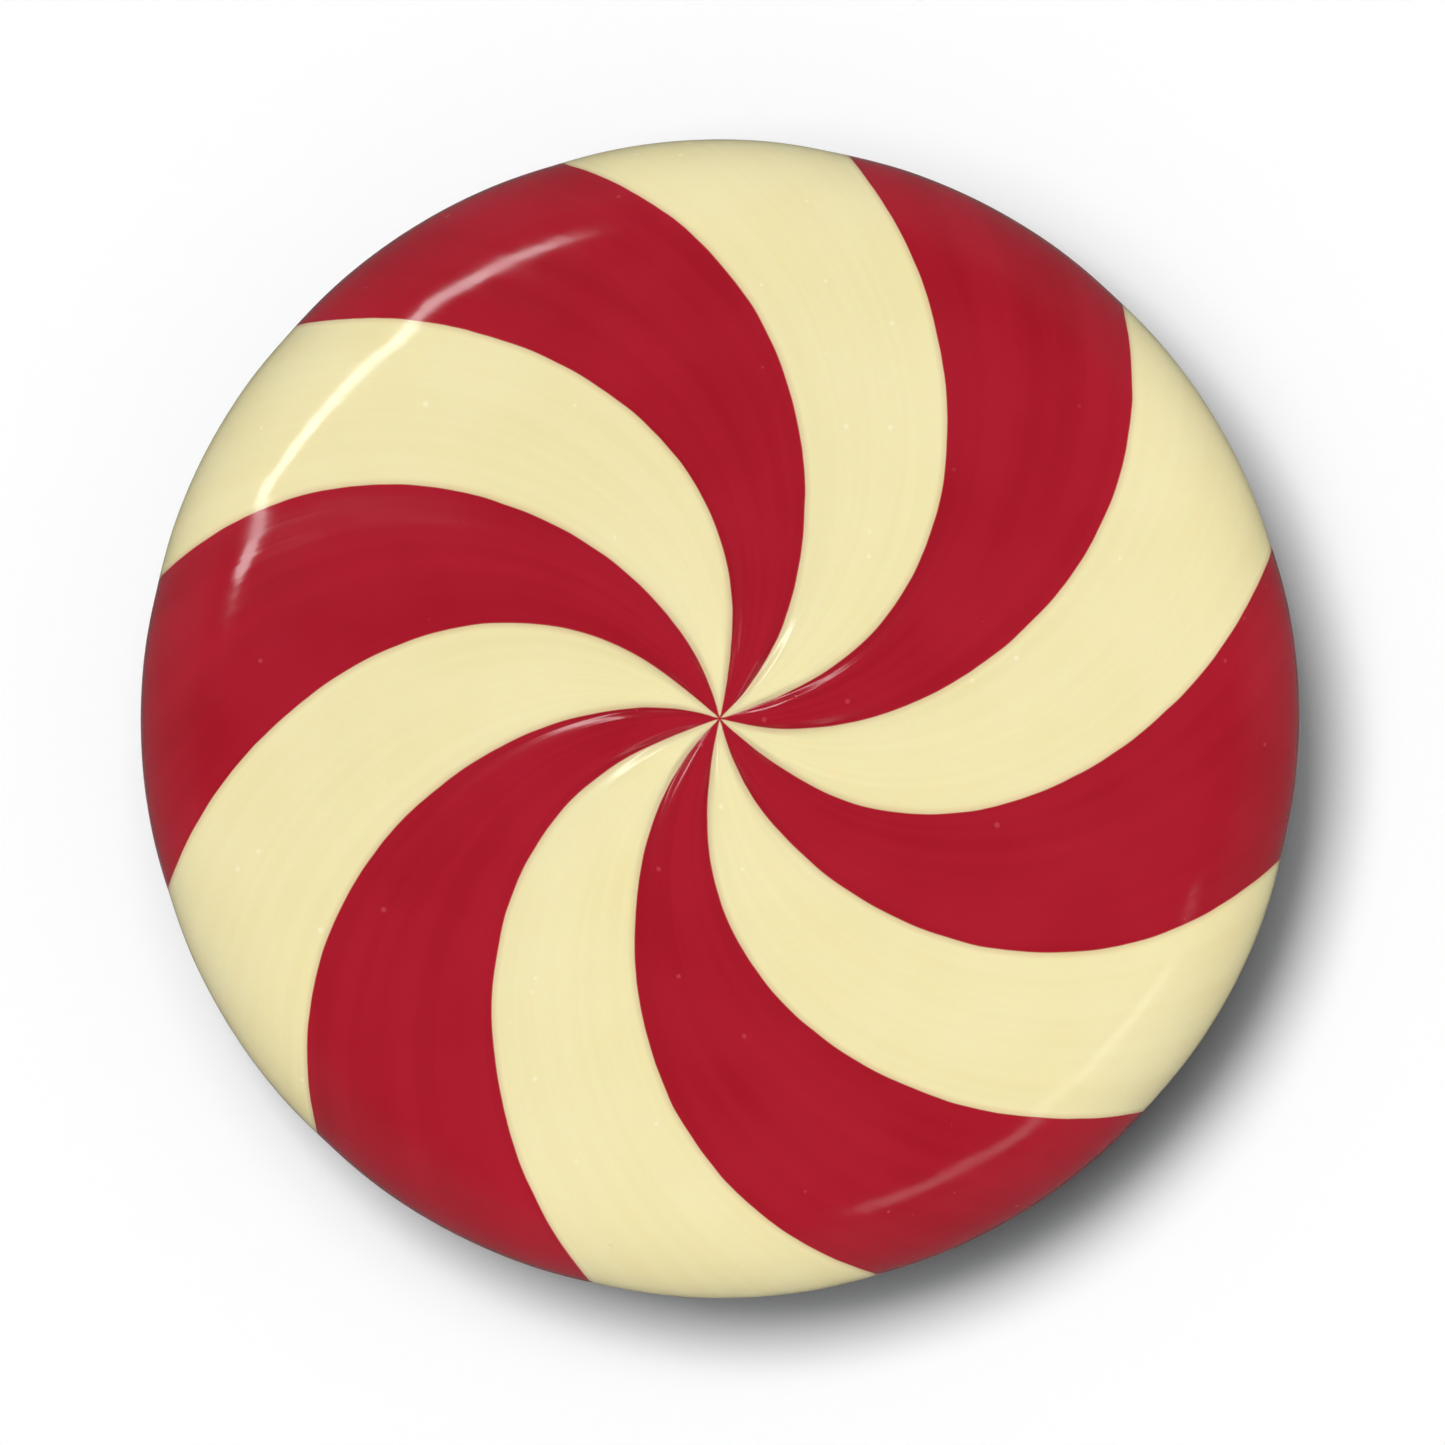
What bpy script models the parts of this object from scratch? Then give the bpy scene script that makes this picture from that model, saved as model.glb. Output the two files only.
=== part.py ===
"""A peppermint candy: one round piece of boiled sugar, its faces swirled red and cream.

Metres, +Z up. The candy lies flat with its axis on Z, and stands on the seat at Z = 0.
+X and +Y are the right and the top of the swirl as it is seen from above.

The body is turned from a profile: a pinch where the stripes gather, a shallow crown, a round
shoulder and a short band round the rim, and then the same on the way down to the other pinch.
The turned body is then twisted, so that its columns of faces follow the stripes, and a soft
valley is pressed in along each line where two stripes meet.
"""

import math

import bmesh
import bpy

# Size of the whole, in metres
DIAMETER = 0.0250
CROWN_TO_CROWN = 0.0103  # before the pinches are pressed and the seat is flattened
BAND_HEIGHT = 0.0012  # the straight part of the rim
SHOULDER_RADIUS = 0.0030  # the round between the rim and a face
SEAT_RADIUS = 0.0055  # the flat that the candy stands on
SEAT_HOLLOW = 0.000005  # how far the flat clears the ground, all but the points that bear on it
BEARING_POINTS = 4  # round the edge of the flat
PINCH_RADIUS = 0.0015  # the dimple in the middle of a face
PINCH_DEPTH = 0.0003
VALLEY_DEPTH = 0.00012  # how far the surface sinks where two stripes meet
VALLEY_POWER = 8  # of the cosine across a stripe that shapes the valley: a higher one narrows it
RIM_VALLEY_SHARE = 0.25  # of that depth, where the valley reaches the rim

# The swirl, in degrees. Each row of values is read at these shares of the radius.
STRIPE_PAIRS = 6  # a red and a cream stripe each
STATIONS = (0.0, 0.25, 0.5, 0.75, 1.0)
SWIRL_TURN = (0.0, 13.1, 28.0, 43.55, 61.5)  # how far the middle of a red stripe has turned
RED_SHARE = (0.585, 0.4515, 0.4755, 0.5305, 0.517)  # of the red and cream pair's width
BAND_SLANT = 5.0  # how far the stripes lean on their way down the rim
SLANT_HEIGHT = 0.0032  # the height over which they lean

# How finely the body is cut into faces
COLUMN_PLACES = (0.0, 0.12, 0.35, 0.65, 0.88)  # across one stripe, closest beside its edges
PINCH_RINGS = 5
SEAT_RINGS = 4
CROWN_RINGS = 6
SHOULDER_RINGS = 7
MERGE_DISTANCE = 0.000001

# Red and cream sugar, linear light
CREAM_SUGAR = (0.88, 0.78, 0.44, 1.0)
RED_SUGAR = (0.397, 0.0137, 0.0273, 1.0)
SUGAR_ROUGHNESS = 0.22

# Worked out from the sizes above
RADIUS = DIAMETER / 2
CROWN_HEIGHT = CROWN_TO_CROWN / 2
BAND_TOP = BAND_HEIGHT / 2
SHOULDER_CENTRE = RADIUS - SHOULDER_RADIUS
RISE = CROWN_HEIGHT - BAND_TOP
# The crown is the sphere through the middle of the face that runs smoothly into the shoulder
CROWN_RADIUS = (SHOULDER_CENTRE**2 + RISE**2 - SHOULDER_RADIUS**2) / (2 * (RISE - SHOULDER_RADIUS))
CROWN_SLOPE = math.asin(SHOULDER_CENTRE / (CROWN_RADIUS - SHOULDER_RADIUS))
CROWN_EDGE = CROWN_RADIUS * math.sin(CROWN_SLOPE)
SEAT_CUT = CROWN_RADIUS - math.sqrt(CROWN_RADIUS**2 - SEAT_RADIUS**2)

PAIR_WIDTH = 360.0 / STRIPE_PAIRS
STRIPE_COLUMNS = len(COLUMN_PLACES)
COLUMNS = STRIPE_PAIRS * 2 * STRIPE_COLUMNS
BEARING_STEP = COLUMNS // BEARING_POINTS
BEARING_START = STRIPE_COLUMNS // 2  # inside a stripe, clear of its valleys


def crown_height(radius, pinch_depth):
    """The height of a face above the middle of the rim, at a radius."""
    height = CROWN_HEIGHT - CROWN_RADIUS + math.sqrt(CROWN_RADIUS**2 - radius**2)
    if radius < PINCH_RADIUS:
        height -= pinch_depth * (1 - (radius / PINCH_RADIUS) ** 2) ** 2
    return height


def face_radii():
    """The radii of the rings of a face, from its middle out to the shoulder."""
    zones = (
        (0.0, PINCH_RADIUS, PINCH_RINGS),
        (PINCH_RADIUS, SEAT_RADIUS, SEAT_RINGS),
        (SEAT_RADIUS, CROWN_EDGE, CROWN_RINGS),
    )
    radii = [0.0]
    for inner, outer, rings in zones:
        radii += [inner + (outer - inner) * ring / rings for ring in range(1, rings + 1)]
    return radii


def half_profile(pinch_depth):
    """Points (radius, height) from the middle of a face to the middle of the rim."""
    points = [(radius, crown_height(radius, pinch_depth)) for radius in face_radii()]
    for ring in range(1, SHOULDER_RINGS + 1):
        angle = CROWN_SLOPE + (math.pi / 2 - CROWN_SLOPE) * ring / SHOULDER_RINGS
        points.append(
            (
                SHOULDER_CENTRE + SHOULDER_RADIUS * math.sin(angle),
                BAND_TOP + SHOULDER_RADIUS * math.cos(angle),
            )
        )
    points.append((RADIUS, 0.0))
    return points


def turned_body(collection):
    """A closed body of revolution about Z, with its rim's middle at Z = 0."""
    upper = half_profile(PINCH_DEPTH)
    lower = half_profile(PINCH_DEPTH + SEAT_CUT)
    points = upper + [(radius, -height) for radius, height in reversed(lower[:-1])]
    profile = bpy.data.meshes.new("candy_profile")
    profile.from_pydata(
        [(radius, 0.0, height) for radius, height in points],
        [(index, index + 1) for index in range(len(points) - 1)],
        [],
    )
    body = bpy.data.objects.new("candy", profile)
    collection.objects.link(body)
    screw = body.modifiers.new("Turn", "SCREW")
    screw.axis = "Z"
    screw.angle = math.tau
    screw.steps = COLUMNS
    screw.render_steps = COLUMNS
    screw.use_merge_vertices = True
    screw.merge_threshold = MERGE_DISTANCE
    screw.use_smooth_shade = True
    return body


def apply_modifiers(body):
    """Make the object's evaluated mesh its own, and drop its modifiers."""
    bpy.context.view_layer.update()
    evaluated = body.evaluated_get(bpy.context.evaluated_depsgraph_get())
    profile = body.data
    body.data = bpy.data.meshes.new_from_object(evaluated)
    body.modifiers.clear()
    bpy.data.meshes.remove(profile)
    body.data.name = body.name


def at_share(values, share):
    """The smooth curve through values given at STATIONS, read at a share of the radius."""
    total = 0.0
    for value, station in zip(values, STATIONS):
        for other in STATIONS:
            if other != station:
                value *= (share - other) / (station - other)
        total += value
    return total


def smooth_step(value):
    """Rise smoothly from 0 to 1 as value does."""
    value = min(max(value, 0.0), 1.0)
    return value * value * (3 - 2 * value)


def red_middle(radius, height):
    """The direction, in degrees, of the middle of a red stripe on the surface."""
    turn = at_share(SWIRL_TURN, radius / RADIUS)
    if height < 0:
        turn = 2 * SWIRL_TURN[-1] - turn
    return turn + BAND_SLANT * smooth_step(0.5 - height / SLANT_HEIGHT)


def column_at(x, y):
    """The number of columns from +X round to a point, a whole number on a vertex."""
    return math.atan2(y, x) / math.tau * COLUMNS % COLUMNS


def is_red(column):
    """Whether a column of faces, counted from +X, belongs to a red stripe."""
    return int(column) // STRIPE_COLUMNS % 2 == 0


def valley(place, radius):
    """How far the surface sinks at a place across a stripe, 0 and 1 being its edges."""
    gathered = smooth_step(radius / PINCH_RADIUS)
    faded = 1 - (1 - RIM_VALLEY_SHARE) * smooth_step(2 * radius / RADIUS - 1)
    return VALLEY_DEPTH * gathered * faded * math.cos(math.pi * place) ** VALLEY_POWER


def outward(radius, height):
    """The surface's direction (along the radius, up) on the body before it has valleys."""
    if radius > CROWN_EDGE:
        sideways = radius - SHOULDER_CENTRE
        upwards = max(abs(height) - BAND_TOP, 0.0)
    else:
        sideways = radius
        upwards = abs(height) + CROWN_RADIUS - CROWN_HEIGHT
    length = math.hypot(sideways, upwards)
    return sideways / length, math.copysign(upwards / length, height)


def swirled(point):
    """Where a vertex of the turned body goes."""
    radius = math.hypot(point.x, point.y)
    if radius < MERGE_DISTANCE:
        return 0.0, 0.0, point.z
    column = round(column_at(point.x, point.y)) % COLUMNS
    pair, column_in_pair = divmod(column, 2 * STRIPE_COLUMNS)
    place = COLUMN_PLACES[column_in_pair % STRIPE_COLUMNS]
    red_width = PAIR_WIDTH * at_share(RED_SHARE, radius / RADIUS)
    if is_red(column):
        angle = (place - 0.5) * red_width
    else:
        angle = 0.5 * red_width + place * (PAIR_WIDTH - red_width)
    angle = math.radians(angle + pair * PAIR_WIDTH + red_middle(radius, point.z))
    sunk = valley(place, radius)
    sideways, upwards = outward(radius, point.z)
    radius -= sunk * sideways
    return radius * math.cos(angle), radius * math.sin(angle), point.z - sunk * upwards


def bears(point):
    """Whether a vertex of the turned body is one that the candy stands on."""
    at_seat_edge = point.z < 0 and abs(math.hypot(point.x, point.y) - SEAT_RADIUS) < MERGE_DISTANCE
    return at_seat_edge and round(column_at(point.x, point.y)) % BEARING_STEP == BEARING_START


def colour_stripes(mesh):
    """Give each face its stripe's sugar. The mesh isn't twisted yet."""
    for face in mesh.polygons:
        face.material_index = 1 if is_red(column_at(face.center.x, face.center.y)) else 0


def twist_and_press(mesh):
    """Twist the body into its swirl, press its valleys, and stand it on its flat seat."""
    shape = bmesh.new()
    shape.from_mesh(mesh)
    lift = CROWN_HEIGHT - SEAT_CUT
    for vertex in shape.verts:
        x, y, z = swirled(vertex.co)
        vertex.co = (x, y, 0.0 if bears(vertex.co) else max(z + lift, SEAT_HOLLOW))
    shape.to_mesh(mesh)
    shape.free()


def sugar(name, colour):
    """A glossy sugar material."""
    material = bpy.data.materials.new(name)
    material.use_nodes = True
    shader = material.node_tree.nodes["Principled BSDF"]
    shader.inputs["Base Color"].default_value = colour
    shader.inputs["Roughness"].default_value = SUGAR_ROUGHNESS
    shader.inputs["Metallic"].default_value = 0.0
    material.diffuse_color = colour
    return material


def main():
    for old in list(bpy.data.objects):
        bpy.data.objects.remove(old, do_unlink=True)
    collection = bpy.data.collections.new("peppermint_candy")
    bpy.context.scene.collection.children.link(collection)
    candy = turned_body(collection)
    apply_modifiers(candy)
    candy.data.materials.append(sugar("cream_sugar", CREAM_SUGAR))
    candy.data.materials.append(sugar("red_sugar", RED_SUGAR))
    colour_stripes(candy.data)
    twist_and_press(candy.data)
    candy.data.set_sharp_from_angle(angle=math.radians(40))


main()
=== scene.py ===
"""A swirled peppermint candy of pulled sugar, lying on a pale floor and seen from straight above.

The candy is rolled out as a tube, whose length is the way from the middle of the upper face, over
the rim, to the middle of the lower one. The tube is wrapped onto the candy's outline, and twisted
so that its columns of faces run along the stripes. Where each point lay on the tube is kept with
the mesh, so that the sugar's colour and its pulled grain follow the stripes.

The form is in metres, +Z up. The finishes are in millimetres, because sugar's grain is that fine.
"""

import logging
import math
from dataclasses import dataclass, field
from enum import Enum

import bmesh
import bpy
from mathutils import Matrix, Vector, noise


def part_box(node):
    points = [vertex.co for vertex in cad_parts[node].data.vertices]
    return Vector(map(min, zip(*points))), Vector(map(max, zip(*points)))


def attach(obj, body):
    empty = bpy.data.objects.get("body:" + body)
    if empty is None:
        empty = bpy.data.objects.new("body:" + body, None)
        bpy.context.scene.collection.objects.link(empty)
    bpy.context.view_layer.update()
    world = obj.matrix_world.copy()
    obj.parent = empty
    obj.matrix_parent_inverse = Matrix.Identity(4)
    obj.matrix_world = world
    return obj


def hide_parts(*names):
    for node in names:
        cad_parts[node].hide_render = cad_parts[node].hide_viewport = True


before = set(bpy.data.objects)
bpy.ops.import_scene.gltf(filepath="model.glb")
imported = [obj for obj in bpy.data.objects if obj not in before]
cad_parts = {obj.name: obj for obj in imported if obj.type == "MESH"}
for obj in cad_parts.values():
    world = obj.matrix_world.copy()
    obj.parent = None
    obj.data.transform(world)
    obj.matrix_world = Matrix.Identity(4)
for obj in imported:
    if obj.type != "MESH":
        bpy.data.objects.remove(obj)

log = logging.getLogger("peppermint")

MM = 0.001
MICROMETRE = MM / 1000
MIX_INPUTS = (0, 6, 7)  # a Mix node's factor and its two colours
MIX_RESULT = 2
USUAL_NOISE = (0.3, 0.7)  # between which a noise node's value mostly lies
SPECK_CORE = 0.4  # of a speck's radius, inside which it is at full strength
SUN_DISTANCE = 1.0  # any will do, as a sun's rays are parallel
WARM_WHITE = (1.0, 0.97, 0.9)

Colour = tuple[float, float, float, float]
Source = bpy.types.NodeSocket | float | tuple[float, ...]


def smooth_step(value: float) -> float:
    """Rise smoothly from 0 to 1 as value does, and stay level outside that."""
    value = min(max(value, 0.0), 1.0)
    return value * value * (3 - 2 * value)


def unit_noise(place: Vector) -> float:
    """Read smooth noise as a number from 0 to 1."""
    return 0.5 + 0.5 * noise.noise(place)


# ---------------------------------------------------------------------------
# The candy's form
# ---------------------------------------------------------------------------


@dataclass(frozen=True)
class Station:
    """A point of the candy's outline, and which way its surface faces there.

    Attributes:
        radius: Its distance from the candy's axis.
        height: Its height above the middle of the rim.
        sideways: The surface's direction, outwards.
        upwards: The surface's direction, upwards.
    """

    radius: float
    height: float
    sideways: float
    upwards: float


@dataclass(frozen=True)
class Outline:
    """The candy's outline, from the middle of the upper face to the middle of the lower one.

    Attributes:
        radius: The rim's radius.
        crown: The height of a face's middle above the middle of the rim, before the pinch.
        band_top: Half the height of the straight part of the rim.
        shoulder: The radius of the round between the rim and a face.
        seat: The radius of the flat that the candy stands on.
        pinch: The radius of the dimple in the middle of a face.
        pinch_depth: How deep it is.
    """

    radius: float
    crown: float = 5.15 * MM
    band_top: float = 0.6 * MM
    shoulder: float = 3.0 * MM
    seat: float = 5.5 * MM
    pinch: float = 1.5 * MM
    pinch_depth: float = 0.3 * MM

    @property
    def shoulder_centre(self) -> float:
        """The radius at which the shoulder's round has its centre."""
        return self.radius - self.shoulder

    @property
    def rise(self) -> float:
        """The height of a face's middle above the straight part of the rim."""
        return self.crown - self.band_top

    @property
    def crown_radius(self) -> float:
        """The radius of the sphere that a face is part of, which runs into the shoulder."""
        square = self.shoulder_centre**2 + self.rise**2 - self.shoulder**2
        return square / (2 * (self.rise - self.shoulder))

    @property
    def crown_slope(self) -> float:
        """How steep the face is where it runs into the shoulder, in radians."""
        return math.asin(self.shoulder_centre / (self.crown_radius - self.shoulder))

    @property
    def seat_cut(self) -> float:
        """How much the seat takes off the lower face."""
        return self.crown_radius - math.sqrt(self.crown_radius**2 - self.seat**2)

    @property
    def lift(self) -> float:
        """How high the middle of the rim is above the floor."""
        return self.crown - self.seat_cut

    @property
    def crown_length(self) -> float:
        """The way from the middle of a face to the shoulder."""
        return self.crown_radius * self.crown_slope

    @property
    def shoulder_length(self) -> float:
        """The way round the shoulder."""
        return self.shoulder * (math.pi / 2 - self.crown_slope)

    @property
    def half_length(self) -> float:
        """The way from the middle of a face to the middle of the rim."""
        return self.crown_length + self.shoulder_length + self.band_top

    def at(self, distance: float) -> Station:
        """Find the outline's point at a distance from the middle of the upper face.

        Args:
            distance: The way along the outline.

        Returns:
            The point.
        """
        below = distance > self.half_length
        side = -1.0 if below else 1.0
        if below:
            distance = 2 * self.half_length - distance
        if distance < self.crown_length:
            slope = distance / self.crown_radius
            radius = self.crown_radius * math.sin(slope)
            height = self.crown - self.crown_radius * (1 - math.cos(slope))
            height -= self.pinched(radius, below)
        elif distance < self.crown_length + self.shoulder_length:
            slope = self.crown_slope + (distance - self.crown_length) / self.shoulder
            radius = self.shoulder_centre + self.shoulder * math.sin(slope)
            height = self.band_top + self.shoulder * math.cos(slope)
        else:
            slope = math.pi / 2
            radius = self.radius
            height = self.half_length - distance
        return Station(radius, side * height, math.sin(slope), side * math.cos(slope))

    def pinched(self, radius: float, below: bool) -> float:
        """Measure how far the pinch lowers a face. The lower one reaches in past the seat."""
        depth = self.pinch_depth + (self.seat_cut if below else 0.0)
        return depth * max(1 - (radius / self.pinch) ** 2, 0.0) ** 2


@dataclass(frozen=True)
class StripeRing:
    """The stripes on one ring of the candy, in degrees.

    Attributes:
        pair_width: The width of a red and a cream stripe together.
        red_width: The width of a red stripe.
        red_middle: The direction of the middle of the first red stripe.
    """

    pair_width: float
    red_width: float
    red_middle: float

    def direction(self, roll: float) -> float:
        """Find the direction in which a column of the rolled-out candy lies.

        Args:
            roll: The column's place round the tube, counted in pairs of stripes.

        Returns:
            The direction from +X.
        """
        pair, place = divmod(roll, 1.0)
        if place < 0.5:
            offset = (2 * place - 0.5) * self.red_width
        else:
            cream_width = self.pair_width - self.red_width
            offset = 0.5 * self.red_width + (2 * place - 1) * cream_width
        return pair * self.pair_width + offset + self.red_middle

    def from_edge(self, roll: float) -> float:
        """Measure how far a column is from the nearest edge of its stripe.

        Args:
            roll: The column's place round the tube, counted in pairs of stripes.

        Returns:
            The angle, above 0 in a red stripe and below 0 in a cream one.
        """
        place = roll % 1.0
        if place < 0.5:
            return self.red_width * min(2 * place, 1 - 2 * place)
        return (self.red_width - self.pair_width) * min(2 * place - 1, 2 - 2 * place)


@dataclass(frozen=True)
class Swirl:
    """How the stripes turn and widen on their way out from the middle of a face.

    Attributes:
        pairs: How many pairs of a red and a cream stripe there are.
        stations: Shares of the candy's radius at which the next two are given.
        turn: How far the middle of a red stripe has turned there, in degrees.
        red_share: The red stripe's share of its pair's width there.
        lean: How far the stripes lean on their way down the rim, in degrees.
        lean_top: The height above the middle of the rim where that begins.
        lean_height: The height over which they lean.
    """

    pairs: int = 6
    stations: tuple[float, ...] = (0.0, 0.25, 0.5, 0.75, 1.0)
    turn: tuple[float, ...] = (0.33, 13.15, 28.2, 43.84, 61.56)
    red_share: tuple[float, ...] = (0.633, 0.4497, 0.4795, 0.5342, 0.5218)
    lean: float = 5.0
    lean_top: float = 1.1 * MM
    lean_height: float = 3.2 * MM

    def at_share(self, values: tuple[float, ...], share: float) -> float:
        """Read the smooth curve through values given at the stations.

        Args:
            values: One value for each station.
            share: The share of the candy's radius to read it at.

        Returns:
            The curve's value there.
        """
        total = 0.0
        for value, station in zip(values, self.stations):
            for other in self.stations:
                if other != station:
                    value *= (share - other) / (station - other)
            total += value
        return total

    def ring(self, station: Station, rim: float) -> StripeRing:
        """Lay the stripes out on one ring.

        Args:
            station: The ring's place on the outline.
            rim: The radius of the candy's rim.

        Returns:
            The stripes there. On the lower face they go on turning the same way.
        """
        share = station.radius / rim
        turn = self.at_share(self.turn, share)
        if station.height < 0:
            turn = 2 * self.turn[-1] - turn
        turn += self.lean * smooth_step((self.lean_top - station.height) / self.lean_height)
        width = 360.0 / self.pairs
        return StripeRing(width, width * self.at_share(self.red_share, share), turn)


@dataclass(frozen=True)
class Relief:
    """What pulling and pressing leave on the sugar. Every depth is taken off the outline.

    Attributes:
        valley: The depth of the line where two stripes meet.
        valley_power: The power of a cosine that narrows the valley.
        pillow: How far the rest of a stripe falls towards its edges.
        rim_share: How much of both is left at the rim. They fade from half way out.
        pull: The depth of the flutes that pulling draws along the stripes.
        pulls_round: How many such flutes there are round the candy, roughly.
        pull_length: How long one is.
        sag: The depth of the broad unevenness of a pressed face.
        sag_size: How far apart its hollows are.
        seam: How far the line where the press closed stands out round the rim.
        seam_width: Half the width of that line.
        least: How far the surface stays inside the outline at the least.
    """

    valley: float = 0.10 * MM
    valley_power: float = 8.0
    pillow: float = 0.03 * MM
    rim_share: float = 0.25
    pull: float = 0.005 * MM
    pulls_round: float = 60.0
    pull_length: float = 9.0 * MM
    sag: float = 0.03 * MM
    sag_size: float = 5.0 * MM
    seam: float = 0.015 * MM
    seam_width: float = 0.3 * MM
    least: float = 0.002 * MM

    def depth(self, rolled: Vector, pairs: float, station: Station, outline: Outline) -> float:
        """Measure how far the surface lies inside the outline.

        Args:
            rolled: Where the point lay on the tube.
            pairs: Its place round the tube, counted in pairs of stripes.
            station: Its place on the outline.
            outline: The whole outline.

        Returns:
            The depth.
        """
        gathered = smooth_step(station.radius / outline.pinch)
        fade = smooth_step(2 * station.radius / outline.radius - 1)
        shown = gathered * (1 - (1 - self.rim_share) * fade)
        across = math.cos(math.tau * pairs) ** 2
        spread = self.pulls_round / math.tau
        line = Vector((rolled.x * spread, rolled.y * spread, rolled.z / self.pull_length))
        broad = Vector((rolled.x * station.radius, rolled.y * station.radius, station.height))
        return (
            self.least
            + self.valley * shown * across ** (self.valley_power / 2)
            + self.pillow * shown * across
            + self.pull * gathered * unit_noise(line)
            + self.sag * unit_noise(broad / self.sag_size)
            + self.seam * smooth_step(abs(station.height) / self.seam_width)
        )


# ---------------------------------------------------------------------------
# Writing materials
# ---------------------------------------------------------------------------


class NodeWriter:
    """Adds nodes to one node tree and links them."""

    def __init__(self, tree: bpy.types.NodeTree) -> None:
        """Write into a tree."""
        self.tree = tree

    def add(self, kind: str, **settings: object) -> bpy.types.Node:
        """Add a node.

        Args:
            kind: The node's type.
            **settings: Values for its own settings.

        Returns:
            The new node.
        """
        node = self.tree.nodes.new(kind)
        for name, value in settings.items():
            setattr(node, name, value)
        return node

    def feed(self, socket: bpy.types.NodeSocket, source: Source) -> None:
        """Link an input to a socket, or set it to a value.

        Args:
            socket: The input.
            source: A socket or a value.
        """
        if isinstance(source, bpy.types.NodeSocket):
            self.tree.links.new(source, socket)
        else:
            socket.default_value = source

    def attribute(self, name: str) -> bpy.types.Node:
        """Read a value that is kept with the mesh."""
        return self.add("ShaderNodeAttribute", attribute_type="GEOMETRY", attribute_name=name)

    def math(self, operation: str, *sources: Source) -> bpy.types.NodeSocket:
        """Work out a number from up to three.

        Args:
            operation: The Math node's operation.
            *sources: Its inputs in order.

        Returns:
            The result's socket.
        """
        node = self.add("ShaderNodeMath", operation=operation)
        for socket, source in zip(node.inputs, sources):
            self.feed(socket, source)
        return node.outputs[0]

    def scale(self, vector: Source, factor: Source) -> bpy.types.NodeSocket:
        """Multiply a vector's length.

        Args:
            vector: The vector.
            factor: What to multiply it by.

        Returns:
            The longer or shorter vector's socket.
        """
        node = self.add("ShaderNodeVectorMath", operation="SCALE")
        self.feed(node.inputs[0], vector)
        self.feed(node.inputs["Scale"], factor)
        return node.outputs["Vector"]

    def ramp(self, value: Source, low: Source, high: Source) -> bpy.types.NodeSocket:
        """Turn a range of a value into 0 to 1, with its ends eased.

        Args:
            value: The value.
            low: What becomes 0.
            high: What becomes 1.

        Returns:
            The result's socket.
        """
        node = self.add("ShaderNodeMapRange", interpolation_type="SMOOTHSTEP")
        self.feed(node.inputs["Value"], value)
        self.feed(node.inputs["From Min"], low)
        self.feed(node.inputs["From Max"], high)
        return node.outputs["Result"]

    def blend(self, factor: Source, first: Source, second: Source) -> bpy.types.NodeSocket:
        """Mix two colours.

        Args:
            factor: The second one's share.
            first: A colour.
            second: Another colour.

        Returns:
            The mixed colour's socket.
        """
        node = self.add("ShaderNodeMix", data_type="RGBA")
        for number, source in zip(MIX_INPUTS, (factor, first, second)):
            self.feed(node.inputs[number], source)
        return node.outputs[MIX_RESULT]

    def noise(self, vector: Source, size: Source, detail: float) -> bpy.types.NodeSocket:
        """Read smooth noise, mostly within USUAL_NOISE.

        Args:
            vector: Where it is read.
            size: How large its features are.
            detail: How many finer layers it has.

        Returns:
            The noise's socket.
        """
        node = self.add("ShaderNodeTexNoise", noise_dimensions="3D")
        self.feed(node.inputs["Vector"], vector)
        self.feed(node.inputs["Scale"], self.math("DIVIDE", 1.0, size))
        self.feed(node.inputs["Detail"], detail)
        return node.outputs["Fac"]


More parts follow.
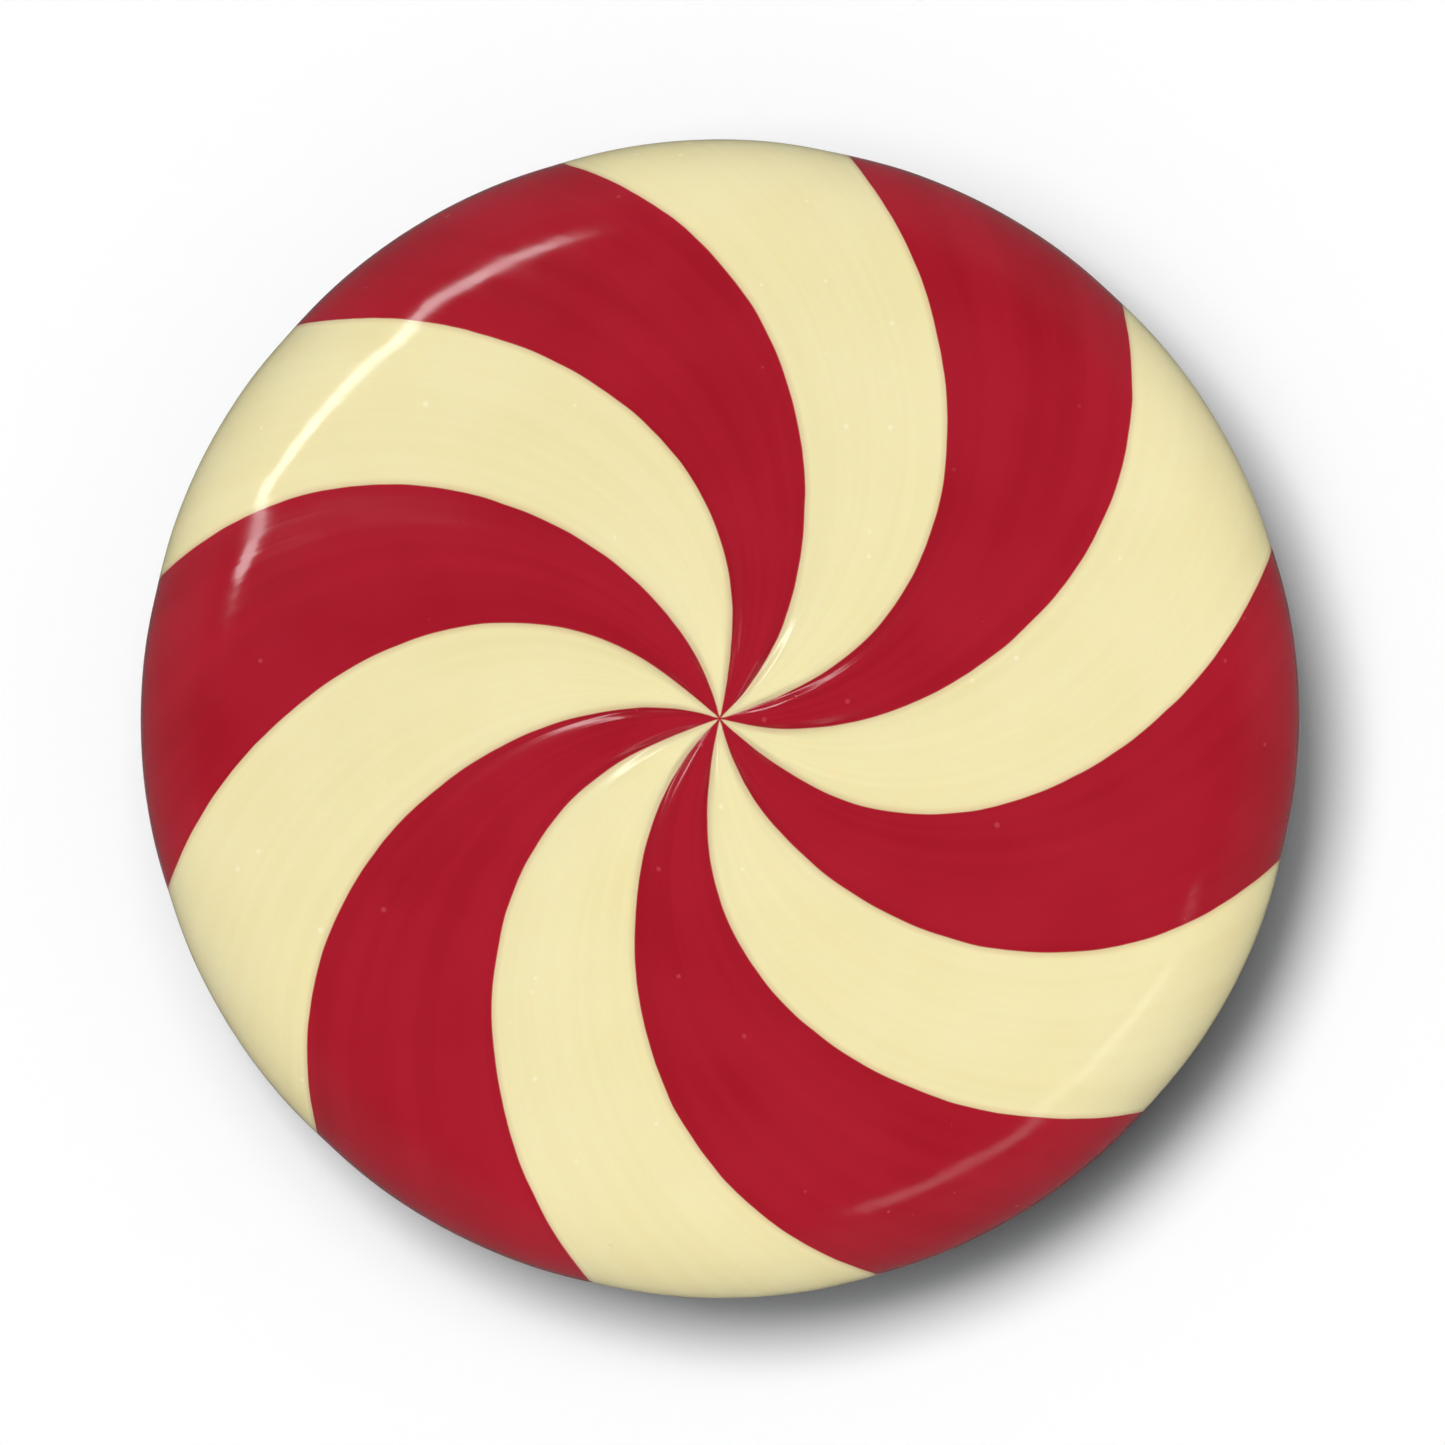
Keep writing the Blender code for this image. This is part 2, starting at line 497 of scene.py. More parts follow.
class Effect(Enum):
    """Effects that more than one finish uses, each a node group that is built once."""

    GRAIN = "pulled_grain"
    PATCHES = "soft_patches"
    SPECKS = "specks"

    def group(self) -> bpy.types.NodeTree:
        """Find the effect's node group, or build it.

        Returns:
            The node group.
        """
        found = bpy.data.node_groups.get(self.value)
        if found:
            return found
        builders = {
            Effect.GRAIN: self._build_grain,
            Effect.PATCHES: self._build_patches,
            Effect.SPECKS: self._build_specks,
        }
        tree = bpy.data.node_groups.new(self.value, "ShaderNodeTree")
        tree.interface.new_socket(name="Mask", in_out="OUTPUT", socket_type="NodeSocketFloat")
        writer = NodeWriter(tree)
        mask = builders[self](writer)
        writer.feed(writer.add("NodeGroupOutput").inputs["Mask"], mask)
        return tree

    def use(self, writer: NodeWriter, **sources: Source) -> bpy.types.NodeSocket:
        """Place the effect in a material.

        Args:
            writer: The material's writer.
            **sources: The effect's inputs, by their names in lower case.

        Returns:
            The effect's mask, from 0 to 1.
        """
        node = writer.add("ShaderNodeGroup", node_tree=self.group())
        for name, source in sources.items():
            writer.feed(node.inputs[self._label(name)], source)
        return node.outputs["Mask"]

    @staticmethod
    def _label(name: str) -> str:
        """Turn a keyword into an input's name, such as lines_round into Lines Round."""
        return name.replace("_", " ").title()

    @classmethod
    def _inputs(
        cls, writer: NodeWriter, vector: str, **usual: float
    ) -> bpy.types.bpy_prop_collection:
        """Give a group its inputs.

        Args:
            writer: The group's writer.
            vector: The name of its vector.
            **usual: The usual values of its numbers, by their names in lower case.

        Returns:
            The sockets from which the group reads them.
        """
        new_socket = writer.tree.interface.new_socket
        new_socket(name=vector, in_out="INPUT", socket_type="NodeSocketVector")
        for name, value in usual.items():
            label = cls._label(name)
            socket = new_socket(name=label, in_out="INPUT", socket_type="NodeSocketFloat")
            socket.default_value = value
        return writer.add("NodeGroupInput").outputs

    @classmethod
    def _build_grain(cls, writer: NodeWriter) -> bpy.types.NodeSocket:
        """Draw fine lines along the way the sugar was pulled.

        Args:
            writer: The group's writer.

        Returns:
            The lines' mask.
        """
        given = cls._inputs(writer, "Rolled", lines_round=300.0, length=8.0)
        split = writer.add("ShaderNodeSeparateXYZ")
        writer.feed(split.inputs["Vector"], given["Rolled"])
        spread = writer.math("DIVIDE", given["Lines Round"], math.tau)
        joined = writer.add("ShaderNodeCombineXYZ")
        for axis in "XY":
            scaled = writer.math("MULTIPLY", split.outputs[axis], spread)
            writer.feed(joined.inputs[axis], scaled)
        scaled = writer.math("DIVIDE", split.outputs["Z"], given["Length"])
        writer.feed(joined.inputs["Z"], scaled)
        lines = writer.noise(joined.outputs["Vector"], size=1.0, detail=2.0)
        return writer.ramp(lines, *USUAL_NOISE)

    @classmethod
    def _build_patches(cls, writer: NodeWriter) -> bpy.types.NodeSocket:
        """Make broad soft patches.

        Args:
            writer: The group's writer.

        Returns:
            The patches' mask.
        """
        given = cls._inputs(writer, "Place", size=3.0)
        patches = writer.noise(given["Place"], given["Size"], detail=1.5)
        return writer.ramp(patches, *USUAL_NOISE)

    @classmethod
    def _build_specks(cls, writer: NodeWriter) -> bpy.types.NodeSocket:
        """Scatter small round specks, one in some of the cells of a loose grid.

        Args:
            writer: The group's writer.

        Returns:
            The specks' mask.
        """
        given = cls._inputs(writer, "Place", spacing=0.5, radius=0.1, share=0.3)
        cells = writer.add("ShaderNodeTexVoronoi", feature="F1", voronoi_dimensions="3D")
        writer.feed(cells.inputs["Vector"], given["Place"])
        writer.feed(cells.inputs["Scale"], writer.math("DIVIDE", 1.0, given["Spacing"]))
        split = writer.add("ShaderNodeSeparateColor")
        writer.feed(split.inputs["Color"], cells.outputs["Color"])
        chosen = writer.math("LESS_THAN", split.outputs["Red"], given["Share"])
        size = writer.math("MULTIPLY", given["Radius"], split.outputs["Green"])
        distance = writer.math("MULTIPLY", cells.outputs["Distance"], given["Spacing"])
        speck = writer.ramp(distance, size, writer.math("MULTIPLY", size, SPECK_CORE))
        return writer.math("MULTIPLY", speck, chosen)


def new_material(name: str) -> tuple[bpy.types.Material, NodeWriter, bpy.types.Node]:
    """Start a material.

    Args:
        name: Its name.

    Returns:
        The material, a writer for its nodes, and its Principled BSDF.
    """
    material = bpy.data.materials.new(name)
    material.use_nodes = True
    material.node_tree.nodes.clear()
    writer = NodeWriter(material.node_tree)
    shader = writer.add("ShaderNodeBsdfPrincipled")
    output = writer.add("ShaderNodeOutputMaterial")
    writer.feed(output.inputs["Surface"], shader.outputs["BSDF"])
    return material, writer, shader


@dataclass(frozen=True)
class SugarTone:
    """One colour of sugar. Colours are linear light, sizes are millimetres.

    Attributes:
        plain: Its usual colour.
        streak: The colour of the lines that pulling leaves in it.
        streaks: How strong they are.
        lines_round: How many lines there would be round the whole candy.
        cloud: The colour of its broad cloudy patches.
        clouds: How strong they are.
        bubble: The colour of a tiny bubble under the surface.
        bubbles: The share of places that have one.
        line_length: How long a line is.
        cloud_size: How far apart the patches are.
        bubble_spacing: How far apart the places for bubbles are.
        bubble_radius: The radius of the largest bubble.
        bubble_strength: How strong a bubble's colour is.
    """

    plain: Colour
    streak: Colour
    streaks: float
    lines_round: float
    cloud: Colour
    clouds: float
    bubble: Colour
    bubbles: float
    line_length: float = 9.0
    cloud_size: float = 2.6
    bubble_spacing: float = 0.45
    bubble_radius: float = 0.09
    bubble_strength: float = 0.6

    def colour(self, writer: NodeWriter, rolled: Source, place: Source) -> bpy.types.NodeSocket:
        """Write this tone's colour.

        Args:
            writer: The material's writer.
            rolled: The place on the rolled-out candy.
            place: The place on the candy, in millimetres.

        Returns:
            The colour's socket.
        """
        lines = Effect.GRAIN.use(
            writer, rolled=rolled, lines_round=self.lines_round, length=self.line_length
        )
        clouds = Effect.PATCHES.use(writer, place=place, size=self.cloud_size)
        bubbles = Effect.SPECKS.use(
            writer,
            place=place,
            spacing=self.bubble_spacing,
            radius=self.bubble_radius,
            share=self.bubbles,
        )
        lines = writer.math("MULTIPLY", lines, self.streaks)
        clouds = writer.math("MULTIPLY", clouds, self.clouds)
        bubbles = writer.math("MULTIPLY", bubbles, self.bubble_strength)
        colour = writer.blend(lines, self.plain, self.streak)
        colour = writer.blend(clouds, colour, self.cloud)
        return writer.blend(bubbles, colour, self.bubble)


CREAM_SUGAR = SugarTone(
    plain=(0.754, 0.682, 0.386, 1.0),
    streak=(0.714, 0.618, 0.315, 1.0),
    streaks=0.35,
    lines_round=170.0,
    cloud=(0.78, 0.728, 0.463, 1.0),
    clouds=0.35,
    bubble=(0.834, 0.796, 0.595, 1.0),
    bubbles=0.25,
)

RED_SUGAR = SugarTone(
    plain=(0.341, 0.00844, 0.0203, 1.0),
    streak=(0.265, 0.00355, 0.0105, 1.0),
    streaks=0.4,
    lines_round=110.0,
    cloud=(0.397, 0.0141, 0.0307, 1.0),
    clouds=0.35,
    bubble=(0.496, 0.0633, 0.0815, 1.0),
    bubbles=0.22,
)


@dataclass(frozen=True)
class SugarSkin:
    """The sugar's gloss and its finest relief. Sizes are millimetres, heights micrometres.

    Attributes:
        roughness: How dull the sugar is where it is glossiest.
        dullness: How much duller it gets at the most.
        dull_size: How far apart its dull patches are.
        dull_lines_round: How many dull lines there would be round the whole candy.
        dull_line_length: How long one is.
        flute: The height of the finest flutes that pulling leaves.
        flutes_round: How many of them there would be round the whole candy.
        flute_length: How long one is.
        peel: The height of the soft dimpling between them.
        peel_size: How far apart its dimples are.
        pit: The depth of a burst bubble.
        pit_radius: The radius of the largest.
        pit_spacing: How far apart the places for them are.
        pit_share: The share of places that have one.
    """

    roughness: float = 0.1
    dullness: float = 0.1
    dull_size: float = 1.7
    dull_lines_round: float = 150.0
    dull_line_length: float = 5.0
    flute: float = 1.2
    flutes_round: float = 200.0
    flute_length: float = 7.0
    peel: float = 4.0
    peel_size: float = 0.9
    pit: float = 12.0
    pit_radius: float = 0.1
    pit_spacing: float = 0.8
    pit_share: float = 0.2

    def dulled(self, writer: NodeWriter, rolled: Source, place: Source) -> bpy.types.NodeSocket:
        """Write how dull the sugar is: cloudy, with duller lines along the pull.

        Args:
            writer: The material's writer.
            rolled: The place on the rolled-out candy.
            place: The place on the candy, in millimetres.

        Returns:
            The roughness's socket.
        """
        clouds = Effect.PATCHES.use(writer, place=place, size=self.dull_size)
        lines = Effect.GRAIN.use(
            writer, rolled=rolled, lines_round=self.dull_lines_round, length=self.dull_line_length
        )
        both = writer.math("MULTIPLY_ADD", lines, 0.5, writer.math("MULTIPLY", clouds, 0.5))
        return writer.math("MULTIPLY_ADD", both, self.dullness, self.roughness)

    def bump(self, writer: NodeWriter, rolled: Source, place: Source) -> bpy.types.NodeSocket:
        """Write the finest relief.

        Args:
            writer: The material's writer.
            rolled: The place on the rolled-out candy.
            place: The place on the candy, in millimetres.

        Returns:
            The normal's socket.
        """
        flutes = Effect.GRAIN.use(
            writer, rolled=rolled, lines_round=self.flutes_round, length=self.flute_length
        )
        peel = Effect.PATCHES.use(writer, place=place, size=self.peel_size)
        pits = Effect.SPECKS.use(
            writer,
            place=place,
            spacing=self.pit_spacing,
            radius=self.pit_radius,
            share=self.pit_share,
        )
        height = writer.math("MULTIPLY", flutes, self.flute)
        height = writer.math("MULTIPLY_ADD", peel, self.peel, height)
        height = writer.math("MULTIPLY_ADD", pits, -self.pit, height)
        bump = writer.add("ShaderNodeBump")
        writer.feed(bump.inputs["Height"], height)
        writer.feed(bump.inputs["Distance"], MICROMETRE)
        return bump.outputs["Normal"]


@dataclass(frozen=True)
class SwirledSugar:
    """The finish of the candy: red and cream sugar, boiled hard and glossy. In millimetres.

    Attributes:
        cream: The paler sugar.
        red: The darker sugar.
        skin: The gloss and finest relief of both.
        waver: How far a stripe's edge strays.
        waver_size: How long a stray is.
        blur: Half the width over which one sugar turns into the other.
        bleed: How far the red has crept into the cream.
        bleed_strength: How strong it is at the edge.
        subsurface: The share of light that wanders under the surface.
        wander: How far red, green and blue light wander.
        refraction: The sugar's index of refraction.
    """

    cream: SugarTone = CREAM_SUGAR
    red: SugarTone = RED_SUGAR
    skin: SugarSkin = SugarSkin()
    waver: float = 0.07
    waver_size: float = 1.3
    blur: float = 0.018
    bleed: float = 0.16
    bleed_strength: float = 0.22
    subsurface: float = 0.25
    wander: tuple[float, float, float] = (0.9, 0.5, 0.3)
    refraction: float = 1.5

    def material(self) -> bpy.types.Material:
        """Build the candy's material.

        Returns:
            The material.
        """
        material, writer, shader = new_material("swirled_sugar")
        rolled = writer.attribute(CandyMesh.ROLLED).outputs["Vector"]
        inward = writer.attribute(CandyMesh.FROM_EDGE).outputs["Fac"]
        place = writer.scale(writer.add("ShaderNodeTexCoord").outputs["Object"], 1 / MM)
        stray = writer.noise(place, self.waver_size, detail=2.0)
        stray = writer.math("SUBTRACT", stray, 0.5)
        inward = writer.math("MULTIPLY_ADD", stray, self.waver, inward)
        red_share = writer.ramp(inward, -self.blur, self.blur)
        crept = writer.ramp(inward, -self.bleed, 0.0)
        crept = writer.math("MULTIPLY", crept, self.bleed_strength)
        cream = self.cream.colour(writer, rolled, place)
        red = self.red.colour(writer, rolled, place)
        colour = writer.blend(writer.math("MAXIMUM", red_share, crept), cream, red)
        writer.feed(shader.inputs["Base Color"], colour)
        writer.feed(shader.inputs["Roughness"], self.skin.dulled(writer, rolled, place))
        writer.feed(shader.inputs["Normal"], self.skin.bump(writer, rolled, place))
        shader.subsurface_method = "RANDOM_WALK"
        shader.inputs["Subsurface Weight"].default_value = self.subsurface
        shader.inputs["Subsurface Radius"].default_value = self.wander
        shader.inputs["Subsurface Scale"].default_value = MM
        shader.inputs["IOR"].default_value = self.refraction
        return material


@dataclass(frozen=True)
class PaleFloor:
    """The finish of the floor: plain, matt and nearly white, with a painted dim reflection where
    the candy's gloss shows it.

    Attributes:
        colour: Its colour, linear light.
        dimmed_reflection: Its colour where the candy's gloss shows it.
        roughness: How dull it is.
    """

    colour: Colour = (0.92, 0.92, 0.92, 1.0)
    # The floor's colour in the candy's gloss: a painted dim reflection, much darker than the
    # floor is.
    dimmed_reflection: Colour = (0.12, 0.12, 0.12, 1.0)
    roughness: float = 0.9

    def material(self) -> bpy.types.Material:
        """Build the floor's material.

        Returns:
            The material.
        """
        material, writer, shader = new_material("pale_floor")
        # Glossy rays see the floor painted dark, which paints a dimmer reflection of it on the
        # candy's rim.
        glossy = writer.add("ShaderNodeLightPath").outputs["Is Glossy Ray"]
        colour = writer.blend(glossy, self.colour, self.dimmed_reflection)
        writer.feed(shader.inputs["Base Color"], colour)
        shader.inputs["Roughness"].default_value = self.roughness
        shader.inputs["Specular IOR Level"].default_value = 0.0
        return material


# ---------------------------------------------------------------------------
# The candy
# ---------------------------------------------------------------------------


@dataclass(frozen=True)
class CandyMesh:
    """The candy's mesh, rolled out as a tube and wrapped onto its outline.

    Attributes:
        outline: The candy's outline.
        swirl: How its stripes turn.
        relief: How uneven it is.
        knot: How far the red has run together where the stripes meet.
        rings: How many rings of faces it has from middle to middle.
        columns: How many columns of faces it has round its axis.
    """

    outline: Outline
    swirl: Swirl = field(default_factory=Swirl)
    relief: Relief = field(default_factory=Relief)
    knot: float = 0.02 * MM
    rings: int = 240
    columns: int = 384

    ROLLED = "rolled"
    FROM_EDGE = "from_edge_mm"
    MAP = "OFBake"
    MAP_RADIUS = 0.29  # of each face's disc on the map, which both share corner to corner
    MAP_MARGIN = 0.003
    POLE_MERGE = 1e-7  # joins the columns where they meet at either pole

    @property
    def ring_length(self) -> float:
        """The way along the outline from one ring to the next."""
        return 2 * self.outline.half_length / self.rings

    def build(self, name: str) -> bpy.types.Object:
        """Make the candy.

        Args:
            name: The piece's name.

        Returns:
            The new object, at the origin.
        """
        shape = bmesh.new()
        self._roll_out(shape)
        self._wrap(shape)
        self._lay_map(shape)
        bmesh.ops.remove_doubles(shape, verts=shape.verts, dist=self.POLE_MERGE)
        bmesh.ops.recalc_face_normals(shape, faces=shape.faces)
        for face in shape.faces:
            face.smooth = True
        mesh = bpy.data.meshes.new(name)
        shape.to_mesh(mesh)
        shape.free()
        candy = bpy.data.objects.new(name, mesh)
        bpy.context.scene.collection.objects.link(candy)
        return candy

    def _roll_out(self, shape: bmesh.types.BMesh) -> None:
        """Make a tube of radius 1 from one edge, as long as the way over the candy.

        Args:
            shape: The empty mesh.
        """
        ends = [shape.verts.new((1.0, 0.0, z)) for z in (0.0, self.rings * self.ring_length)]
        edge = shape.edges.new(ends)
        bmesh.ops.subdivide_edges(shape, edges=[edge], cuts=self.rings - 1)
        bmesh.ops.spin(
            shape,
            geom=shape.verts[:] + shape.edges[:],
            axis=(0.0, 0.0, 1.0),
            cent=(0.0, 0.0, 0.0),
            angle=math.tau,
            steps=self.columns,
            use_merge=True,
        )
        # The spin leaves the faces in another order each time, so they are put in a fixed one
        shape.faces.sort(key=self._number)

    def _number(self, face: bmesh.types.BMFace) -> float:
        """Number the tube's faces ring by ring, and round each ring.

        Args:
            face: A face of the tube.

        Returns:
            Its number, which isn't a whole one.
        """
        middle = face.calc_center_median()
        turned = math.atan2(middle.y, middle.x) / math.tau % 1.0
        return round(2 * middle.z / self.ring_length) + turned

    def _wrap(self, shape: bmesh.types.BMesh) -> None:
        """Wrap the tube onto the candy's outline, and keep where each point lay on it.

        Args:
            shape: The tube.
        """
        rolled_layer = shape.verts.layers.float_vector.new(self.ROLLED)
        edge_layer = shape.verts.layers.float.new(self.FROM_EDGE)
        stations = [self.outline.at(ring * self.ring_length) for ring in range(self.rings + 1)]
        stripes = [self.swirl.ring(station, self.outline.radius) for station in stations]
        for vertex in shape.verts:
            rolled = vertex.co.copy()
            ring = round(rolled.z / self.ring_length)
            station, stripe = stations[ring], stripes[ring]
            pairs = math.atan2(rolled.y, rolled.x) / math.tau % 1.0 * self.swirl.pairs
            depth = self.relief.depth(rolled, pairs, station, self.outline)
            radius = max(station.radius - depth * station.sideways, 0.0)
            height = self.outline.lift + station.height - depth * station.upwards
            angle = math.radians(stripe.direction(pairs))
            from_edge = math.radians(stripe.from_edge(pairs)) * radius
            from_edge *= self._straightness(stations, stripes, ring)
            from_edge += self.knot * max(1 - radius / self.ring_length, 0.0)
            vertex[rolled_layer] = (rolled.x, rolled.y, rolled.z / MM)
            vertex[edge_layer] = from_edge / MM
            vertex.co = (
                radius * math.cos(angle),
                radius * math.sin(angle),
                max(height, 0.0),
            )

    def _lay_map(self, shape: bmesh.types.BMesh) -> None:
        """Lay the upper and the lower half of the candy out flat, each as a disc.

        Args:
            shape: The wrapped candy, before its doubles are merged.
        """
        places = shape.loops.layers.uv.new(self.MAP)
        rolled_layer = shape.verts.layers.float_vector[self.ROLLED]
        middle = self.MAP_RADIUS + self.MAP_MARGIN
        length = self.outline.half_length
        for face in shape.faces:
            below = face.calc_center_median().z < self.outline.lift
            centre = 1 - middle if below else middle
            for loop in face.loops:
                distance = loop.vert[rolled_layer].z * MM
                reach = self.MAP_RADIUS * (2 * length - distance if below else distance) / length
                way = loop.vert.co.xy.normalized()
                across = -way.x if below else way.x
                loop[places].uv = (centre + reach * across, centre + reach * way.y)

    def _straightness(
        self, stations: list[Station], stripes: list[StripeRing], ring: int
    ) -> float:
        """Measure how squarely the stripes cross a ring.

        Args:
            stations: Each ring's place on the outline.
            stripes: The stripes on each ring.
            ring: The ring's number.

        Returns:
            1 where they run straight across it, less where they slant.
        """
        before, after = max(ring - 1, 0), min(ring + 1, self.rings)
        turned = math.radians(stripes[after].red_middle - stripes[before].red_middle)
        sideways = stations[ring].radius * turned
        return math.cos(math.atan(sideways / ((after - before) * self.ring_length)))


@dataclass(frozen=True)
class Candy:
    """The candy, which stands for its solid.

    Attributes:
        node: The solid's name.
        body: The body that it rides on.
        slot: The name of the record's slot for its finish; not used.
        finish: Its finish.
    """

    node: str = "candy"
    body: str = "root"
    slot: str = "sugar"
    finish: SwirledSugar = field(default_factory=SwirledSugar)

    @property
    def outline(self) -> Outline:
        """The candy's outline, as wide as its solid."""
        lowest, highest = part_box(self.node)
        return Outline(radius=(highest.x - lowest.x) / 2)

    def build(self) -> bpy.types.Object:
        """Make the candy, dress it, and set it in the frame.

        Returns:
            The candy's piece.
        """
        piece = CandyMesh(self.outline).build("swirled_candy")
        piece.data.materials.append(self.finish.material())
        piece.visible_diffuse = False  # it casts a plain grey shadow, with no tint of its own
        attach(piece, self.body)
        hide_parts(self.node)
        return piece


# ---------------------------------------------------------------------------
# The studio
# ---------------------------------------------------------------------------


@dataclass(frozen=True)
class Photograph:
    """Where the candy lies in the reference picture, in its pixels.

    Attributes:
        side: The picture's width and height.
        candy_width: The candy's width, before its relief is taken off.
        candy_x: Its middle, from the left.
        candy_y: Its middle, from the top.
    """

    side: float = 1445.0
    candy_width: float = 1160.4
    candy_x: float = 719.75
    candy_y: float = 718.6


def towards(tilt: float, direction: float) -> Vector:
    """Find the way from the candy to a light.

    Args:
        tilt: How far it leans from straight up, in degrees.
        direction: Which way it leans, in degrees from +X.

    Returns:
        The unit vector.
    """
    tilt, direction = math.radians(tilt), math.radians(direction)
    flat = math.sin(tilt)
    return Vector((flat * math.cos(direction), flat * math.sin(direction), math.cos(tilt)))


def place_lamp(data: bpy.types.Light, way: Vector, distance: float) -> bpy.types.Object:
    """Hang a lamp in the scene, facing the candy.

    Args:
        data: The lamp.
        way: The unit vector from the candy to it.
        distance: How far away it is.

    Returns:
        The lamp's object.
    """
    lamp = bpy.data.objects.new(data.name, data)
    lamp.location = way * distance
    lamp.rotation_euler = way.to_track_quat("Z", "Y").to_euler()
    bpy.context.scene.collection.objects.link(lamp)
    return lamp


@dataclass(frozen=True)
class SoftLight:
    """A soft light from far away, which the candy's gloss doesn't show.

    Attributes:
        name: Its name.
        strength: Its strength, in watts per square metre.
        tilt: How far it leans from straight up, in degrees.
        direction: Which way it leans, in degrees from +X.
        width: How wide it looks from the candy, in degrees.
        colour: Its colour, linear light.
    """

    name: str
    strength: float
    tilt: float
    direction: float
    width: float
    colour: tuple[float, float, float] = (1.0, 1.0, 1.0)

    def build(self) -> bpy.types.Object:
        """Hang the light.

        Returns:
            Its object.
        """
        data = bpy.data.lights.new(self.name, "SUN")
        data.energy = self.strength
        data.color = self.colour
        data.angle = math.radians(self.width)
        data.cycles.use_multiple_importance_sampling = False  # else it shines through the candy
        lamp = place_lamp(data, towards(self.tilt, self.direction), SUN_DISTANCE)
        lamp.visible_glossy = False
        return lamp


@dataclass(frozen=True)
class StripLight:
    """A long narrow light that only the candy's gloss shows.

    Attributes:
        name: Its name.
        brightness: Its radiance.
        tilt: How far it leans from straight up, in degrees.
        direction: Which way it leans, in degrees from +X.
        distance: How far away it is.
        length: Its longer side, which lies level.
        width: Its shorter side.
    """

    name: str
    brightness: float
    tilt: float
    direction: float
    distance: float = 0.4
    length: float = 0.32
    width: float = 0.06

    def build(self) -> None:
        """Hang the light."""
        data = bpy.data.lights.new(self.name, "AREA")
        data.shape = "RECTANGLE"
        data.size, data.size_y = self.length, self.width
        data.energy = self.brightness * math.pi * self.length * self.width
        lamp = place_lamp(data, towards(self.tilt, self.direction), self.distance)
        lamp.visible_diffuse = False
        lamp.visible_camera = False


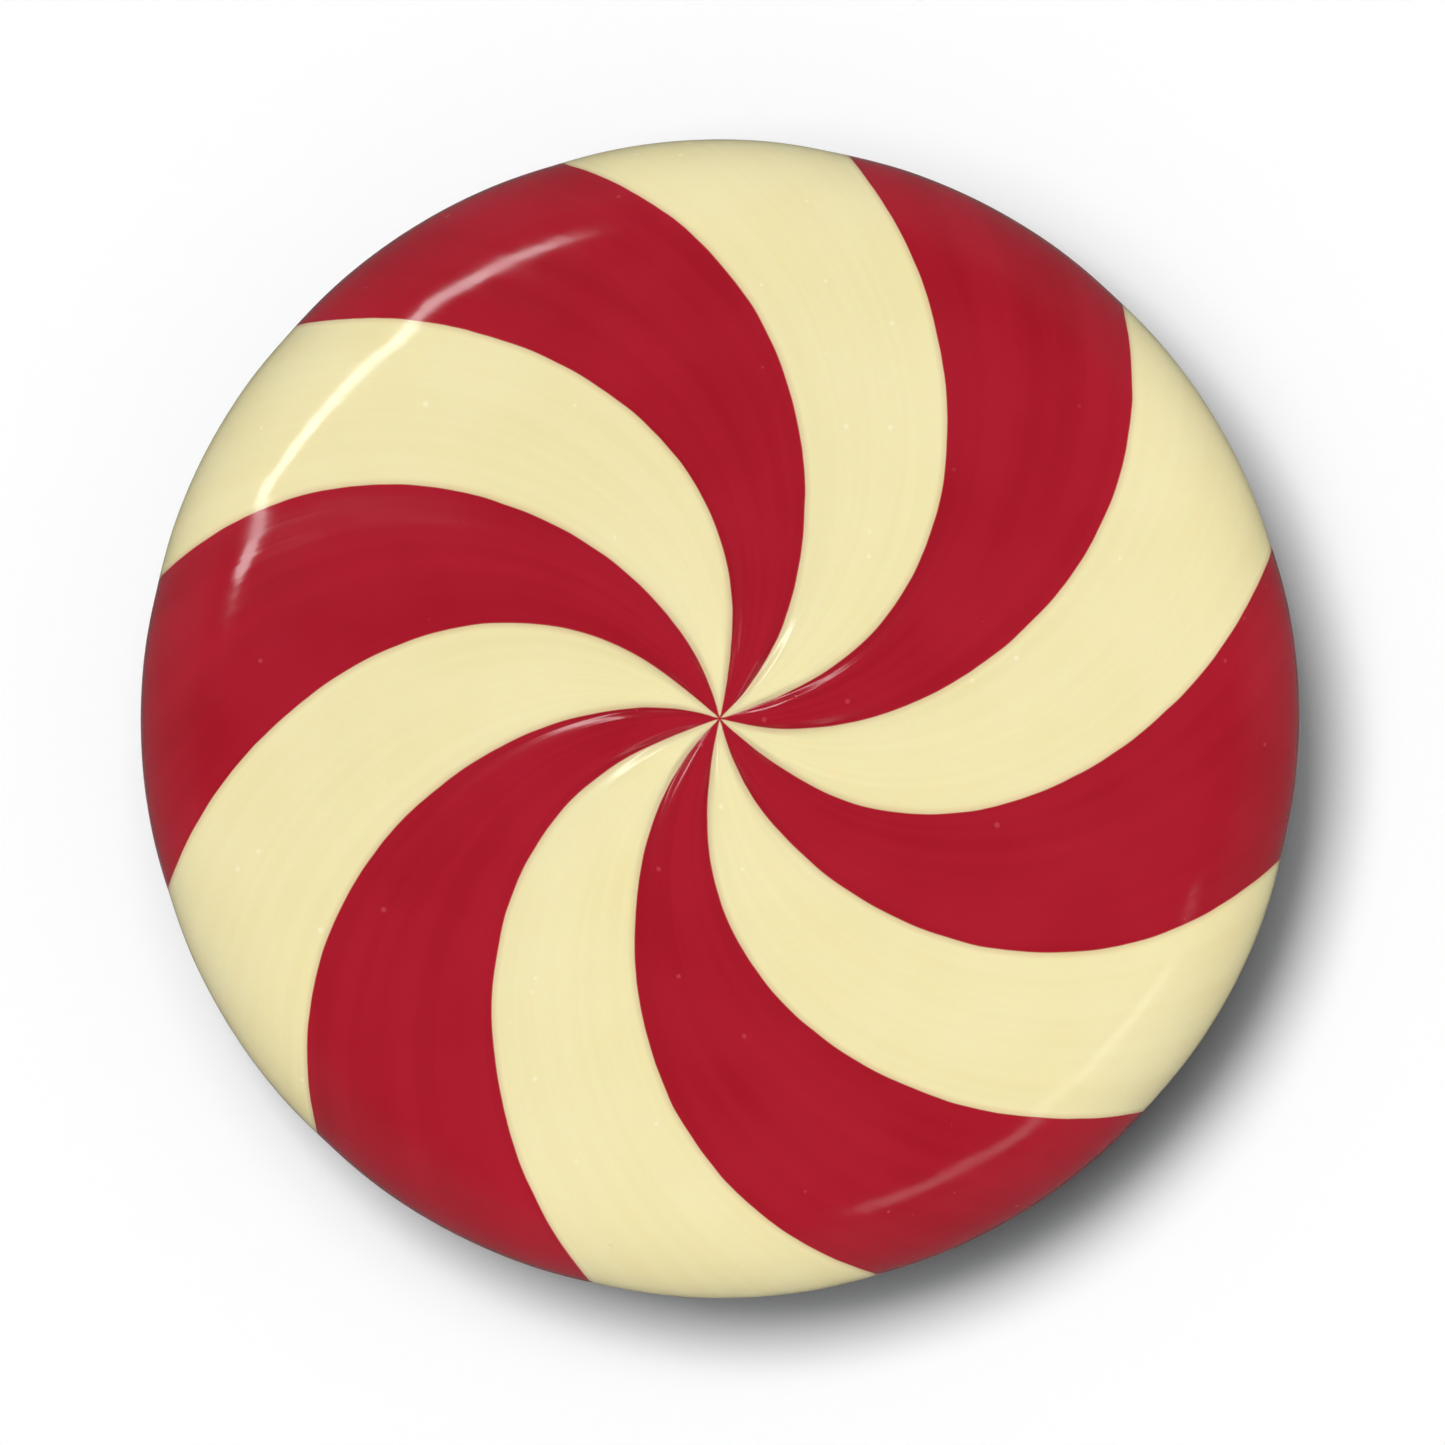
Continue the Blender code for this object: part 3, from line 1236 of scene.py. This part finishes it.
@dataclass(frozen=True)
class Studio:
    """A plain pale floor, soft light from the upper left, and a camera straight above.

    Attributes:
        photograph: How the candy is framed.
        distance: How high the camera is above the candy's rim.
        clipping: The nearest and the farthest that it shows.
        floor_side: The floor's side.
        floor_gap: How far the floor is below the candy.
        soft_lights: The main light, a weaker one on either side of it, and the ceiling's.
        fill_lights: Low warm lights that only the candy receives, to brighten its rim.
        strip_lights: The lights that the gloss shows.
        background: The brightness of the world behind the floor.
        ambient: The brightness of the world where only its light matters.
        horizon: The brightness of the world near the horizon, where the gloss shows it.
        zenith: Its brightness higher up.
        fade_height: How far up it has faded to that, as the sine of the angle.
    """

    photograph: Photograph = field(default_factory=Photograph)
    distance: float = 0.6
    clipping: tuple[float, float] = (0.01, 10.0)
    floor_side: float = 4.0
    floor_gap: float = 0.02 * MM
    soft_lights: tuple[SoftLight, ...] = (
        SoftLight("key_light", 1.99, tilt=15.0, direction=135.0, width=16.0),
        SoftLight("upper_light", 0.54, tilt=14.0, direction=90.0, width=16.0),
        SoftLight("left_light", 0.54, tilt=14.0, direction=180.0, width=16.0),
        SoftLight("ceiling_light", 0.41, tilt=0.0, direction=0.0, width=100.0),
    )
    fill_lights: tuple[SoftLight, ...] = (
        SoftLight("front_fill", 1.15, tilt=78.0, direction=-45.0, width=24.0, colour=WARM_WHITE),
        SoftLight("right_fill", 0.6, tilt=78.0, direction=45.0, width=24.0, colour=WARM_WHITE),
        SoftLight("left_fill", 0.6, tilt=78.0, direction=225.0, width=24.0, colour=WARM_WHITE),
    )
    strip_lights: tuple[StripLight, ...] = (
        StripLight("upper_strip", brightness=9.0, tilt=50.0, direction=135.0),
        StripLight("lower_strip", brightness=1.5, tilt=58.0, direction=-50.0),
    )
    background: float = 1.0
    ambient: float = 0.016
    horizon: float = 0.15
    zenith: float = 0.04
    fade_height: float = 0.6

    def build(self, outline: Outline, candy: bpy.types.Object) -> None:
        """Set up the studio.

        Args:
            outline: The candy's outline.
            candy: The candy.
        """
        self._camera(outline)
        self._floor()
        for light in self.soft_lights + self.strip_lights:
            light.build()
        filled = bpy.data.collections.new("filled")
        filled.objects.link(candy)
        for light in self.fill_lights:
            light.build().light_linking.receiver_collection = filled
        self._world()
        bpy.context.scene.view_settings.view_transform = "Standard"

    def _camera(self, outline: Outline) -> None:
        """Point a long lens straight down, framed as the reference picture is.

        Args:
            outline: The candy's outline.
        """
        picture = self.photograph
        pixel = 2 * outline.radius / picture.candy_width
        data = bpy.data.cameras.new("camera")
        data.lens = data.sensor_width * self.distance / (picture.side * pixel)
        data.clip_start, data.clip_end = self.clipping
        camera = bpy.data.objects.new("camera", data)
        camera.location = (
            (picture.side / 2 - picture.candy_x) * pixel,
            (picture.candy_y - picture.side / 2) * pixel,
            outline.lift + self.distance,
        )
        bpy.context.scene.collection.objects.link(camera)
        bpy.context.scene.camera = camera

    def _floor(self) -> None:
        """Lay the floor, which isn't part of the object."""
        shape = bmesh.new()
        bmesh.ops.create_grid(shape, x_segments=1, y_segments=1, size=self.floor_side / 2)
        bmesh.ops.translate(shape, verts=shape.verts, vec=(0.0, 0.0, -self.floor_gap))
        mesh = bpy.data.meshes.new("floor")
        shape.to_mesh(mesh)
        shape.free()
        mesh.materials.append(PaleFloor().material())
        floor = bpy.data.objects.new("floor", mesh)
        bpy.context.scene.collection.objects.link(floor)

    def _world(self) -> None:
        """Keep the far background pale, and give the gloss a dim room to show."""
        world = bpy.data.worlds.new("studio")
        world.use_nodes = True
        world.node_tree.nodes.clear()
        writer = NodeWriter(world.node_tree)
        direction = writer.add("ShaderNodeSeparateXYZ")
        place = writer.add("ShaderNodeTexCoord").outputs["Generated"]
        writer.feed(direction.inputs["Vector"], place)
        low = writer.ramp(direction.outputs["Z"], self.fade_height, 0.0)
        room = writer.math("MULTIPLY_ADD", low, self.horizon - self.zenith, self.zenith)
        rays = writer.add("ShaderNodeLightPath").outputs
        shown = writer.math("MULTIPLY_ADD", rays["Is Glossy Ray"], room, self.ambient)
        strength = writer.math("MULTIPLY_ADD", rays["Is Camera Ray"], self.background, shown)
        light = writer.add("ShaderNodeBackground")
        writer.feed(light.inputs["Strength"], strength)
        light.inputs["Color"].default_value = (1.0, 1.0, 1.0, 1.0)
        output = writer.add("ShaderNodeOutputWorld")
        writer.feed(output.inputs["Surface"], light.outputs["Background"])
        bpy.context.scene.world = world


def main() -> None:
    """Build the candy and its studio, and log the candy's face count."""
    logging.basicConfig(level=logging.INFO, format="%(name)s: %(message)s")
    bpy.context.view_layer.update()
    candy = Candy()
    piece = candy.build()
    log.info("%s: %d faces", piece.name, len(piece.data.polygons))
    Studio().build(candy.outline, piece)
    log.info("studio: floor, lights and camera")


if __name__ == "__main__":
    main()
